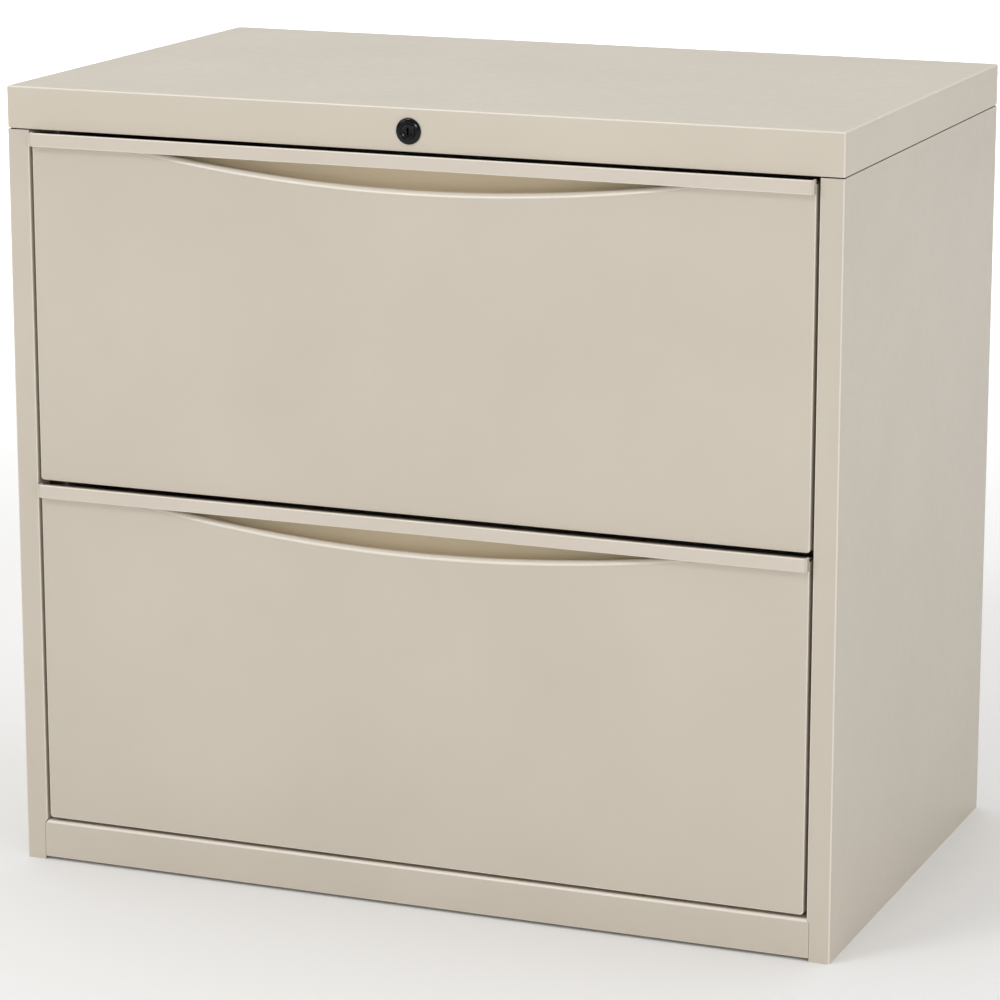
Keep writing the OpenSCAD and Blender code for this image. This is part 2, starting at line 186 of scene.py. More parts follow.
def bend_radius(test, radius, segments=4):
    """Rounds the picked folds to the bend's outside radius."""
    pick("EDGE", test)
    bpy.ops.mesh.bevel(offset=radius, segments=segments, affect="EDGES", clamp_overlap=True)


def apply_modifier(piece, kind, **settings):
    """Adds one modifier with its settings and applies it."""
    take(piece)
    modifier = piece.modifiers.new(kind.title(), kind)
    for key, value in settings.items():
        setattr(modifier, key, value)
    bpy.ops.object.modifier_apply(modifier=modifier.name)


def thicken(piece, sheet):
    """Gives a folded sheet its thickness, inwards from its painted outside."""
    apply_modifier(piece, "SOLIDIFY", thickness=sheet, offset=-1, use_even_offset=True,
                   use_quality_normals=True)


def ease_cut_edges(piece, width=CUT_EDGE, angle=50):
    """Rounds the sharp cut edges a little, as paint does."""
    apply_modifier(piece, "BEVEL", width=width, segments=2, limit_method="ANGLE",
                   angle_limit=math.radians(angle), miter_outer="MITER_ARC")


def smooth(piece, angle=40):
    """Shades bends smooth and leaves the flat sheet flat."""
    take(piece)
    bpy.ops.object.shade_smooth_by_angle(angle=math.radians(angle))
    apply_modifier(piece, "WEIGHTED_NORMAL", mode="FACE_AREA", weight=80, keep_sharp=True)


def outward(piece):
    """Turns every face of a closed piece outwards."""
    edit(piece)
    bpy.ops.mesh.select_all(action="SELECT")
    bpy.ops.mesh.normals_make_consistent(inside=False)
    bpy.ops.object.mode_set(mode="OBJECT")


def upright_sheet(name, low, high, face_y):
    """A flat sheet that faces -Y, between two corners given as X and Z."""
    middle = ((low[0] + high[0]) / 2, face_y, (low[1] + high[1]) / 2)
    clear_selection()
    bpy.ops.mesh.primitive_plane_add(size=1, location=middle, rotation=(QUARTER, 0, 0))
    sheet = bpy.context.object
    sheet.scale = (high[0] - low[0], high[1] - low[1], 1)
    return settle_place(sheet, name)


def block(name, low, high):
    """A rectangular blank between two corners."""
    low, high = Vector(low), Vector(high)
    clear_selection()
    bpy.ops.mesh.primitive_cube_add(size=1, location=(low + high) / 2)
    solid = bpy.context.object
    solid.scale = high - low
    return settle_place(solid, name)


def mirror_piece(piece, name):
    """The other side's piece, turned right side out again after the mirroring."""
    take(piece)
    bpy.ops.object.duplicate(linked=False)
    twin = bpy.context.object
    twin.scale = (-1, 1, 1)
    settle_place(twin, name)
    outward(twin)
    return twin


def join_pieces(pieces, name):
    """Joins loose blanks into one piece."""
    take(pieces[0])
    for piece in pieces[1:]:
        piece.select_set(True)
    bpy.ops.object.join()
    pieces[0].name = name
    pieces[0].data.name = name
    return pieces[0]


def bore(piece, cutter):
    """Cuts the cutter's shape out of the piece and throws the cutter away."""
    apply_modifier(piece, "BOOLEAN", operation="DIFFERENCE", object=cutter, solver="EXACT")
    bpy.data.objects.remove(cutter)


def round_bar(name, centre, radius, length, sides=64):
    """A round bar along Y, centred on a point."""
    clear_selection()
    bpy.ops.mesh.primitive_cylinder_add(vertices=sides, radius=radius, depth=length,
                                        location=centre, rotation=(QUARTER, 0, 0))
    return settle_place(bpy.context.object, name)


def turned(name, centre, profile, sides=72):
    """A piece turned about Y. The profile is a closed round of (radius, distance in front)."""
    clear_selection()
    first_radius, first_out = profile[0]
    bpy.ops.mesh.primitive_circle_add(vertices=sides, radius=first_radius,
                                      location=(centre.x, centre.y - first_out, centre.z),
                                      rotation=(QUARTER, 0, 0))
    piece = settle_place(bpy.context.object, name)
    edit(piece)
    bpy.ops.mesh.select_mode(type="EDGE")
    bpy.ops.mesh.select_all(action="SELECT")
    radius, out = first_radius, first_out
    for next_radius, next_out in profile[1:] + profile[:1]:
        extend((0, out - next_out, 0))
        ratio = next_radius / radius
        bpy.ops.transform.resize(value=(ratio, 1, ratio), center_override=centre)
        radius, out = next_radius, next_out
    bpy.ops.mesh.select_all(action="SELECT")
    bpy.ops.mesh.remove_doubles(threshold=0.01 * MM)
    outward(piece)
    return piece


def place(piece, body, slot, *nodes):
    """Rides the piece on its body and hides the CAD nodes it stands for. The slot argument is not used."""
    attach(piece, body)
    if nodes:
        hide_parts(*nodes)


# ---- Materials ----

def linear(hex_colour):
    """An sRGB hex colour as the linear colour that the shader takes."""
    channels = [int(hex_colour[i:i + 2], 16) / 255 for i in (1, 3, 5)]
    curve = [c / 12.92 if c <= 0.04045 else ((c + 0.055) / 1.055) ** 2.4 for c in channels]
    return (*curve, 1)


def add_node(tree, kind, settings=None, links=None):
    """Adds one node, sets its properties and sockets, and links its inputs."""
    node = tree.nodes.new(kind)
    for key, value in (settings or {}).items():
        is_property = isinstance(key, str) and hasattr(node, key)
        if is_property:
            setattr(node, key, value)
        else:
            node.inputs[key].default_value = value
    for key, source in (links or {}).items():
        tree.links.new(source, node.inputs[key])
    return node


def new_finish(name):
    """A material with a bare surface shader, and the Object coordinates its patterns use."""
    finish = bpy.data.materials.new(name)
    finish.use_nodes = True
    tree = finish.node_tree
    coords = add_node(tree, "ShaderNodeTexCoord").outputs["Object"]
    return finish, tree, tree.nodes["Principled BSDF"], coords


def noise(tree, coords, feature_mm, detail=2.0, roughness=0.5):
    """Noise whose features are about as wide as the given millimetres."""
    settings = {"Scale": 1 / (feature_mm * MM), "Detail": detail, "Roughness": roughness}
    return add_node(tree, "ShaderNodeTexNoise", settings, {"Vector": coords}).outputs["Fac"]


def spread(tree, value, low, high):
    """Turns a noise value into a range of roughness or strength."""
    settings = {"From Min": 0.3, "From Max": 0.7, "To Min": low, "To Max": high}
    return add_node(tree, "ShaderNodeMapRange", settings, {"Value": value}).outputs["Result"]


def tone(tree, value, hex_low, hex_high):
    """Mixes two close colours of one finish by a noise value."""
    ramp = add_node(tree, "ShaderNodeValToRGB", links={"Fac": value})
    ramp.color_ramp.elements[0].position = 0.3
    ramp.color_ramp.elements[0].color = linear(hex_low)
    ramp.color_ramp.elements[1].position = 0.7
    ramp.color_ramp.elements[1].color = linear(hex_high)
    return ramp.outputs["Color"]


def relief(tree, shader, layers):
    """Stacks bump layers, each (height, distance in mm, strength), on the shader's normal."""
    normal = None
    for height, depth_mm, strength in layers:
        links = {"Height": height}
        if normal:
            links["Normal"] = normal
        settings = {"Distance": depth_mm * MM, "Strength": strength}
        normal = add_node(tree, "ShaderNodeBump", settings, links).outputs["Normal"]
    tree.links.new(normal, shader.inputs["Normal"])


def bend_amount(tree):
    """0 on flat sheet and 1 along the middle of a bend, from the piece's own surface normal:
    the sum of its fourth powers is 1 along an axis and a half at 45 degrees between two."""
    normal = add_node(tree, "ShaderNodeTexCoord").outputs["Normal"]
    squares = add_node(tree, "ShaderNodeVectorMath", {"operation": "MULTIPLY"},
                       {0: normal, 1: normal}).outputs["Vector"]
    flatness = add_node(tree, "ShaderNodeVectorMath", {"operation": "DOT_PRODUCT"},
                        {0: squares, 1: squares}).outputs["Value"]
    settings = {"interpolation_type": "SMOOTHSTEP", "From Min": 0.92, "From Max": 0.7}
    return add_node(tree, "ShaderNodeMapRange", settings, {"Value": flatness}).outputs["Result"]


def powder_coat(name, hex_low, hex_high, hex_painted_bend_highlight="#ece4d8", gloss=0.34, peel=0.15):
    """Polyester powder coat, sprayed dry and baked on steel. The powder flows out to a satin film with a
    fine orange peel about 1.5 mm across, over sheet that is never quite flat. Along the bends its colour is
    mixed towards a lighter tone, a painted highlight that makes them read as fine light lines, and the film
    is a little glossier there."""
    finish, tree, shader, coords = new_finish(name)
    drift = noise(tree, coords, 140, 2)
    peel_height = noise(tree, coords, 1.5, 2)
    sheet_wave = noise(tree, coords, 230, 1)
    # bend mask: where the painted highlight tone goes, and where the roughness drops a little
    bend = bend_amount(tree)
    paint = add_node(tree, "ShaderNodeMix", {"data_type": "RGBA"})
    tree.links.new(bend, paint.inputs["Factor"])
    tree.links.new(tone(tree, drift, hex_low, hex_high), paint.inputs[6])
    # painted highlight: the lighter tone mixed in along the bends
    paint.inputs[7].default_value = linear(hex_painted_bend_highlight)
    tree.links.new(paint.outputs[2], shader.inputs["Base Color"])
    satin = spread(tree, noise(tree, coords, 9, 3), gloss - 0.03, gloss + 0.04)
    smoother = add_node(tree, "ShaderNodeMath", {"operation": "MULTIPLY", 1: 0.1}, {0: bend})
    film = add_node(tree, "ShaderNodeMath", {"operation": "SUBTRACT"},
                    {0: satin, 1: smoother.outputs["Value"]})
    tree.links.new(film.outputs["Value"], shader.inputs["Roughness"])
    shader.inputs["IOR"].default_value = 1.5
    relief(tree, shader, [(sheet_wave, 1.2, 0.25), (peel_height, 0.03, peel)])
    return finish


def zinc_plate(name, hex_low, hex_high, roughness=0.34):
    """Bright zinc electroplate on cold-rolled steel, drawn along the slide's length, so it has
    a faint cloudiness and long fine draw lines."""
    finish, tree, shader, coords = new_finish(name)
    stretch = add_node(tree, "ShaderNodeMapping", {"Scale": (1, 0.04, 1)}, {"Vector": coords})
    lines = noise(tree, stretch.outputs["Vector"], 0.5, 3)
    clouds = noise(tree, coords, 14, 3)
    tree.links.new(tone(tree, clouds, hex_low, hex_high), shader.inputs["Base Color"])
    tree.links.new(spread(tree, clouds, roughness - 0.06, roughness + 0.08),
                   shader.inputs["Roughness"])
    shader.inputs["Metallic"].default_value = 1.0
    relief(tree, shader, [(lines, 0.02, 0.3)])
    return finish


def polished_steel(name, hex_low, hex_high):
    """Ground and polished bearing steel, with a thin film of grease that dulls it unevenly."""
    finish, tree, shader, coords = new_finish(name)
    film = noise(tree, coords, 3, 3)
    tree.links.new(tone(tree, film, hex_low, hex_high), shader.inputs["Base Color"])
    tree.links.new(spread(tree, film, 0.12, 0.3), shader.inputs["Roughness"])
    shader.inputs["Metallic"].default_value = 1.0
    return finish


def black_lacquer(name):
    """Black PTFE-filled lacquer on a die-cast lock: a thin, glossy film of low index that
    follows the casting's slight unevenness, so it stays deep black with small, crisp glints."""
    finish, tree, shader, coords = new_finish(name)
    cast = noise(tree, coords, 2.2, 2)
    tree.links.new(tone(tree, noise(tree, coords, 6, 2), "#070708", "#0d0d0f"),
                   shader.inputs["Base Color"])
    tree.links.new(spread(tree, cast, 0.06, 0.1), shader.inputs["Roughness"])
    shader.inputs["IOR"].default_value = 1.35
    relief(tree, shader, [(cast, 0.03, 0.2)])
    return finish


def moulded_nylon(name, hex_low, hex_high):
    """Injection-moulded nylon, coloured through, with a fine spark-eroded texture."""
    finish, tree, shader, coords = new_finish(name)
    tree.links.new(tone(tree, noise(tree, coords, 20, 2), hex_low, hex_high),
                   shader.inputs["Base Color"])
    tree.links.new(spread(tree, noise(tree, coords, 1, 2), 0.45, 0.58), shader.inputs["Roughness"])
    relief(tree, shader, [(noise(tree, coords, 0.8, 2), 0.03, 0.4)])
    return finish


def black_rubber(name):
    """Moulded nitrile rubber: dull, nearly black, slightly bloomed with grey."""
    finish, tree, shader, coords = new_finish(name)
    bloom = noise(tree, coords, 5, 4)
    tree.links.new(tone(tree, bloom, "#1b1b1b", "#2a2927"), shader.inputs["Base Color"])
    tree.links.new(spread(tree, bloom, 0.7, 0.88), shader.inputs["Roughness"])
    relief(tree, shader, [(noise(tree, coords, 1.2, 3), 0.05, 0.4)])
    return finish


def hot_rolled_bar(name):
    """Hot-rolled steel bar with its blue-grey mill scale left on, blotchy and matt."""
    finish, tree, shader, coords = new_finish(name)
    scale_patches = noise(tree, coords, 22, 5, 0.6)
    tree.links.new(tone(tree, scale_patches, "#3a3b3d", "#57524d"), shader.inputs["Base Color"])
    tree.links.new(spread(tree, scale_patches, 0.45, 0.75), shader.inputs["Roughness"])
    shader.inputs["Metallic"].default_value = 0.6
    relief(tree, shader, [(noise(tree, coords, 2, 4), 0.15, 0.4)])
    return finish


def phosphated_steel_with_painted_shade(name):
    """Phosphated steel with hardly any powder on it, as inside narrow joints the spray cannot reach:
    crystalline and matt, and coloured nearly black, darker than the bare metal, as painted shade for the
    gap, so the joint reads as a fine black line."""
    finish, tree, shader, coords = new_finish(name)
    crystals = noise(tree, coords, 2, 4)
    tree.links.new(tone(tree, crystals, "#12100e", "#1b1815"), shader.inputs["Base Color"])
    tree.links.new(spread(tree, crystals, 0.6, 0.8), shader.inputs["Roughness"])
    relief(tree, shader, [(crystals, 0.02, 0.4)])
    return finish


def studio_paper(name, hex_colour):
    """Matt seamless background paper, with only the faintest fibre."""
    finish, tree, shader, coords = new_finish(name)
    tree.links.new(tone(tree, noise(tree, coords, 900, 1), hex_colour, "#f7f7f7"),
                   shader.inputs["Base Color"])
    shader.inputs["Roughness"].default_value = 0.9
    shader.inputs["Specular IOR Level"].default_value = 0.1
    return finish


putty_coat = powder_coat("putty_powder_coat", "#cbc2b3", "#cfc6b7")
# Painted light: the top cap's coat is a lighter copy of the putty coat, so its top and fascia read brighter,
# as where more light falls.
cap_coat_painted_lighter = powder_coat("putty_powder_coat_painted_lighter_on_the_top", "#cfc6b6", "#d3caba")
# Painted light: the pulls' coat is a lighter copy of the putty coat, standing in for the extra light the
# strips catch over the fronts.
pull_coat_painted_lighter = powder_coat("putty_powder_coat_painted_lighter_on_pulls", "#d2c9bb", "#d6cdc0", gloss=0.32)
# Painted shade: a warmer, yellower copy of the putty coat for the finger scoops, standing in for the brown
# cast of bounced light in their shade.
scoop_coat_painted_shade_tint = powder_coat("putty_powder_coat_tinted_for_scoop_shade", "#d6c7a8", "#dbccae", "#dbccae",
                         gloss=0.5)
inside_coat = powder_coat("putty_powder_coat_inside", "#c3baab", "#cac1b2", gloss=0.46, peel=0.3)
slide_zinc = zinc_plate("drawn_zinc_plate", "#b4b8bb", "#c6cacc")
plated_steel = zinc_plate("passivated_zinc_plate", "#b2b1a8", "#c7c5ba", roughness=0.4)
bearing_steel = polished_steel("greased_bearing_steel", "#c2c4c6", "#d8dadc")
glide_nickel = polished_steel("nickel_plated_glide", "#b9b4aa", "#cfcac0")
lock_lacquer = black_lacquer("black_lacquered_die_casting")
joint_painted_shade = phosphated_steel_with_painted_shade("joint_darkened_with_painted_shade")
cap_nylon = moulded_nylon("putty_moulded_nylon", "#cbc2b4", "#cfc7b9")
stop_rubber = black_rubber("black_nitrile_rubber")
ballast_steel = hot_rolled_bar("hot_rolled_ballast_bar")

FINISHES = {
    "case_paint": putty_coat, "drawer_paint": putty_coat, "pull_paint": pull_coat_painted_lighter,
    "inner_paint": inside_coat, "end_cap_plastic": cap_nylon, "slide_zinc": slide_zinc,
    "plated_steel": plated_steel, "bearing_steel": bearing_steel, "glide_nickel": glide_nickel,
    "lock_black": lock_lacquer, "bumper_rubber": stop_rubber, "ballast_steel": ballast_steel,
}


def coat(piece, finish):
    """Gives the piece one finish all over."""
    piece.data.materials.clear()
    piece.data.materials.append(finish)


def coat_faces(piece, finish, test):
    """Gives the faces whose middle passes the test a second finish."""
    piece.data.materials.append(finish)
    second = len(piece.data.materials) - 1
    for face in piece.data.polygons:
        if test(face.center):
            face.material_index = second


# ---- Studio and camera ----

def make_camera():
    """Long lens from the front right, a little above, as the cabinet is seen in a catalogue."""
    lens = bpy.data.cameras.new("catalogue_camera")
    lens.sensor_width = 36
    lens.lens = 143.6
    lens.clip_end = 60
    camera = bpy.data.objects.new("catalogue_camera", lens)
    camera.location = (1.312, -3.277, 1.163)
    camera.rotation_euler = (math.radians(76.52), 0, math.radians(21.98))
    bpy.context.scene.collection.objects.link(camera)
    bpy.context.scene.camera = camera


def hang(lamp, place_at, look_at):
    """Hangs a lamp at a place, aimed at a point, and keeps the lamp itself out of the picture."""
    holder = bpy.data.objects.new(lamp.name, lamp)
    holder.location = place_at
    aim = Vector(look_at) - Vector(place_at)
    holder.rotation_euler = aim.to_track_quat("-Z", "Y").to_euler()
    holder.visible_camera = False
    bpy.context.scene.collection.objects.link(holder)


def softbox(name, place_at, look_at, width, height, power, grid_angle=180):
    """A rectangular softbox with a grid that narrows its spread, in degrees."""
    lamp = bpy.data.lights.new(name, "AREA")
    lamp.shape = "RECTANGLE"
    lamp.size, lamp.size_y = width, height
    lamp.energy = power
    lamp.spread = math.radians(grid_angle)
    hang(lamp, place_at, look_at)


def ceiling_wash(strength, angle):
    """Even light from a white ceiling that is much wider than the set."""
    lamp = bpy.data.lights.new("ceiling_wash", "SUN")
    lamp.energy = strength
    lamp.angle = math.radians(angle)
    hang(lamp, (0, 0, 6), (0, 0, 0))


def make_white_room():
    """A white room, brighter towards the backdrop and dimmer behind the camera."""
    world = bpy.data.worlds.new("white_room")
    world.use_nodes = True
    tree = world.node_tree
    direction = add_node(tree, "ShaderNodeTexCoord").outputs["Generated"]
    axes = add_node(tree, "ShaderNodeSeparateXYZ", links={"Vector": direction})
    settings = {"From Min": -0.5, "From Max": 0.6, "To Min": 0.38, "To Max": 0.78}
    glow = add_node(tree, "ShaderNodeMapRange", settings, {"Value": axes.outputs["Y"]})
    background = tree.nodes["Background"]
    background.inputs["Color"].default_value = linear("#fdfcfb")
    tree.links.new(glow.outputs["Result"], background.inputs["Strength"])
    bpy.context.scene.world = world


def make_studio():
    """Pale seamless floor in a white room, with softboxes round the cabinet."""
    clear_selection()
    bpy.ops.mesh.primitive_plane_add(size=24)
    floor = settle_place(bpy.context.object, "studio_floor")
    coat(floor, studio_paper("white_background_paper", "#f5f5f5"))
    make_white_room()
    bpy.context.scene.view_settings.view_transform = "Standard"
    ceiling_wash(0.68, 80)
    softbox("key_softbox", (-2.8, -3.0, 2.4), (0, 0, 0.4), 1.8, 1.8, 19)
    softbox("edge_softbox", (-1.3, -2.5, 3.0), (0, -0.2, 0.5), 0.9, 0.5, 20)
    softbox("front_softbox", (-0.04, -3.2, 1.07), (0, -0.24, 0.66), 0.5, 0.34, 9)
    softbox("side_softbox", (1.6, -2.3, 2.4), (0, -0.2, 0.6), 0.6, 0.6, 4)
    softbox("backdrop_softbox", (-1.8, 4.4, 4.4), (-1.8, 4.4, 0), 4.0, 3.0, 90, grid_angle=80)
    softbox("side_strip_light", (1.75, -1.35, 0.51), (0.3, -0.2, 0.51), 0.14, 0.98, 3.2)


# ---- Case ----

def make_top_cap():
    """Folded pan with rounded corners. Its front flange is the fascia, pierced for the lock."""
    return_half = half_width - 5 * MM
    cap = block("top_cap_shell", cap_low, cap_high)
    edit(cap)
    pick("FACE", lambda p: near(p.z, cap_low.z))
    bpy.ops.mesh.delete(type="FACE")
    for side in (-1, 1):
        cut_line((side * return_half, 0, 0), (1, 0, 0))
    flange(lambda p: near(p.y, case_front) and near(p.z, cap_low.z) and abs(p.x) < return_half,
           (0, FASCIA_RETURN, 0))
    bend_radius(lambda p: (near(p.z, cap_high.z) or near(abs(p.x), half_width))
                and (near(abs(p.x), half_width) or near(p.y, case_front) or near(p.y, case_back))
                and not near(p.z, cap_low.z), CAP_BEND)
    thicken(cap, CASE_SHEET)
    lock_low, lock_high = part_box("lock_nut")
    lock_at = (lock_low + lock_high) / 2
    bore(cap, round_bar("lock_hole", (0, case_front, lock_at.z), LOCK_HOLE_RADIUS, 8 * MM))
    ease_cut_edges(cap)
    smooth(cap)
    place(cap, "case", "case_paint", "top_cap")
    # lighter copy of the putty coat: painted light on the top and fascia
    coat(cap, cap_coat_painted_lighter)


def make_side_panels():
    """Side with its front stile, stile return, rear flange and foot flange folded from one sheet."""
    web_top = cap_low.z - SEAM
    rail_top = rail_high.z
    notch_top = rail_top + 0.5 * MM
    notch_foot = rail_top - 3 * MM
    tuck_from, tuck_to = case_front + 4 * MM, case_back - 4 * MM
    clear_selection()
    bpy.ops.mesh.primitive_plane_add(
        size=1, location=(half_width, (case_front + case_back) / 2, web_top / 2),
        rotation=(0, QUARTER, 0))
    panel = bpy.context.object
    panel.scale = (web_top, case_back - case_front, 1)
    settle_place(panel, "right_side_shell")
    edit(panel)
    flange(lambda p: near(p.y, case_front), (stile_edge - half_width, 0, 0))
    cut_line((0, 0, notch_top), (0, 0, 1))
    cut_line((0, 0, notch_foot), (0, 0, 1))
    flange(lambda p: near(p.x, stile_edge) and p.z > notch_top, (0, STILE_RETURN, 0))
    pick("VERT", lambda p: near(p.x, stile_edge) and p.z < notch_foot + MM)
    bpy.ops.transform.translate(value=(rail_high.x + 0.3 * MM - stile_edge, 0, 0))
    flange(lambda p: near(p.x, half_width) and near(p.y, case_back), (-REAR_FLANGE, 0, 0))
    cut_line((0, tuck_from, 0), (0, 1, 0))
    cut_line((0, tuck_to, 0), (0, 1, 0))
    flange(lambda p: near(p.x, half_width) and near(p.z, 0) and tuck_from < p.y < tuck_to,
           (-FOOT_FLANGE, 0, 0))
    flange(lambda p: near(p.x, half_width) and near(p.z, web_top) and tuck_from < p.y < tuck_to,
           (-1.3 * MM, 0, 0))
    extend((0, 0, 30 * MM))
    bend_radius(lambda p: near(p.x, half_width)
                and (near(p.y, case_front) or near(p.y, case_back)), SIDE_BEND)
    bend_radius(lambda p: near(p.x, stile_edge) and near(p.y, case_front) and p.z > notch_top,
                STILE_BEND)
    bend_radius(lambda p: near(p.x, half_width) and near(p.z, web_top)
                and tuck_from < p.y < tuck_to, 0.8 * MM, 3)
    thicken(panel, CASE_SHEET)
    ease_cut_edges(panel)
    left_panel = mirror_piece(panel, "left_side_shell")
    for side, piece in (("right", panel), ("left", left_panel)):
        smooth(piece)
        place(piece, "case", "case_paint", f"{side}_side_panel")
        coat(piece, putty_coat)
        # the faces inside the seam get the nearly black steel: painted shade for the gap
        coat_faces(piece, joint_painted_shade, lambda p: p.z > web_top + 0.1 * MM or (
            p.z > web_top - 2 * MM and abs(p.x) < half_width - 0.9 * MM
            and tuck_from < p.y < tuck_to))


def make_back_panel():
    """Plain sheet spot-welded to the side panels' rear flanges. Each weld leaves a shallow
    round dimple from the electrode."""
    low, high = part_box("back_panel")
    back = block("back_sheet", low, high)
    welds = []
    for column in (-1, 1):
        for row in range(WELD_ROWS):
            spot = (column * (high.x - 9 * MM), high.y, low.z + 30 * MM + row * WELD_PITCH)
            welds.append(round_bar(f"weld_{column}_{row}", spot, WELD_RADIUS, 0.5 * MM, 24))
    bore(back, join_pieces(welds, "weld_marks"))
    ease_cut_edges(back, 0.12 * MM)
    smooth(back)
    place(back, "case", "case_paint", "back_panel")
    coat(back, putty_coat)


def make_base_rail():
    """Toe rail with a generously rolled top edge; its upper corners are snipped off beside
    the stiles, and its lower return carries the front glides."""
    snip = 2.4 * MM
    inner = rail_high.x - snip
    rail = upright_sheet("base_rail_shell", (rail_low.x, rail_low.z), (rail_high.x, rail_high.z),
                         case_front)
    edit(rail)
    for side in (-1, 1):
        cut_line((side * inner, 0, 0), (1, 0, 0))
    flange(lambda p: near(p.z, rail_high.z) and abs(p.x) < inner, (0, RAIL_RETURN, 0))
    flange(lambda p: near(p.z, rail_low.z), (0, RAIL_FOOT, 0))
    pick("VERT", lambda p: near(abs(p.x), rail_high.x) and near(p.z, rail_high.z))
    bpy.ops.transform.translate(value=(0, 0, -3 * MM))
    bend_radius(lambda p: near(p.y, case_front) and near(p.z, rail_high.z), RAIL_ROLL, 8)
    bend_radius(lambda p: near(p.y, case_front) and near(p.z, rail_low.z), 1.2 * MM)
    thicken(rail, CASE_SHEET)
    for glide in ("left_front_glide", "right_front_glide"):
        low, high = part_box(glide)
        middle = (low + high) / 2
        clear_selection()
        bpy.ops.mesh.primitive_cylinder_add(vertices=40, radius=5.5 * MM, depth=10 * MM,
                                            location=(middle.x, middle.y, rail_low.z))
        bore(rail, settle_place(bpy.context.object, "glide_hole"))
    ease_cut_edges(rail)
    smooth(rail)
    place(rail, "case", "case_paint", "base_rail")
    coat(rail, putty_coat)


# ---- Lock ----

def make_lock():
    """Die-cast barrel with a domed bezel, and a plug with a keyway that turns inside it."""
    low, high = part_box("lock_housing")
    centre = Vector(((low.x + high.x) / 2, case_front, (low.z + high.z) / 2))
    rim = (high.x - low.x) / 2
    proud = case_front - low.y
    depth = high.y - case_front
    plug_low, plug_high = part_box("lock_plug")
    plug_radius = (plug_high.x - plug_low.x) / 2
    mouth = plug_radius + 0.07 * MM
    dome = [(rim * math.cos(a) ** 0.6, 0.6 * MM + (proud - 0.6 * MM) * math.sin(a))
            for a in (math.radians(step * 6) for step in range(13))]
    dome = [ring for ring in dome if ring[0] > mouth + 1.3 * MM]
    crown = dome[-1][1]
    profile = [(BARREL_RADIUS, -depth), (BARREL_RADIUS, 0), (rim - 0.2 * MM, 0), (rim, 0.25 * MM)] + dome + [
        (mouth + 0.9 * MM, crown + 0.03 * MM), (mouth + 0.35 * MM, crown - 0.12 * MM),
        (mouth, crown - 0.55 * MM), (mouth, -depth)]
    housing = turned("lock_bezel", centre, profile)
    smooth(housing, 50)
    place(housing, "case", "lock_black", "lock_housing")
    coat(housing, lock_lacquer)

    face = -(plug_low.y - case_front)
    tail = -(plug_high.y - case_front)
    plug = turned("lock_plug_face", centre, [
        (0.02 * MM, tail), (plug_radius, tail), (plug_radius, face - 0.9 * MM),
        (plug_radius - 0.15 * MM, face - 0.55 * MM), (plug_radius - 0.5 * MM, face - 0.4 * MM),
        (plug_radius - 1.3 * MM, face - 0.45 * MM), (plug_radius - 1.9 * MM, face - 0.8 * MM),
        (2.4 * MM, face - 0.8 * MM), (0.02 * MM, face - 0.8 * MM)])
    keyway = block("keyway", (-0.75 * MM, plug_low.y - 2 * MM, centre.z - 3.3 * MM),
                   (0.75 * MM, case_front + 9 * MM, centre.z + 3.3 * MM))
    bore(plug, keyway)
    ward = block("keyway_ward", (-1.5 * MM, plug_low.y - 2 * MM, centre.z + 0.6 * MM),
                 (0.2 * MM, case_front + 9 * MM, centre.z + 1.7 * MM))
    bore(plug, ward)
    smooth(plug, 35)
    place(plug, "lock_plug", "lock_black", "lock_plug")
    coat(plug, lock_lacquer)


# ---- Drawers ----

def recess_height(x, top):
    """Height of the recess's arc at x, on a drawer whose pull's top is at the given height."""
    bottom = top - pull_height - RECESS_SAG
    return bottom + RECESS_RADIUS - math.sqrt(RECESS_RADIUS ** 2 - x * x)


def lip_and_scoop(scoop_back):
    """Section of the recess behind the arc, as (distance behind the face, height over the arc):
    the rolled lip, the scoop's floor and the heel that turns up into its back wall."""
    heel = 4.5 * MM
    floor_fall = 1.5 * MM
    quarter_turn = [QUARTER * step / 6 for step in range(7)]
    lip = [(LIP_RADIUS * (1 - math.cos(t)), LIP_RADIUS * (math.sin(t) - 1)) for t in quarter_turn]
    scoop = [(scoop_back - heel + heel * math.sin(t), heel * (1 - math.cos(t)) - floor_fall)
             for t in quarter_turn]
    return lip + scoop


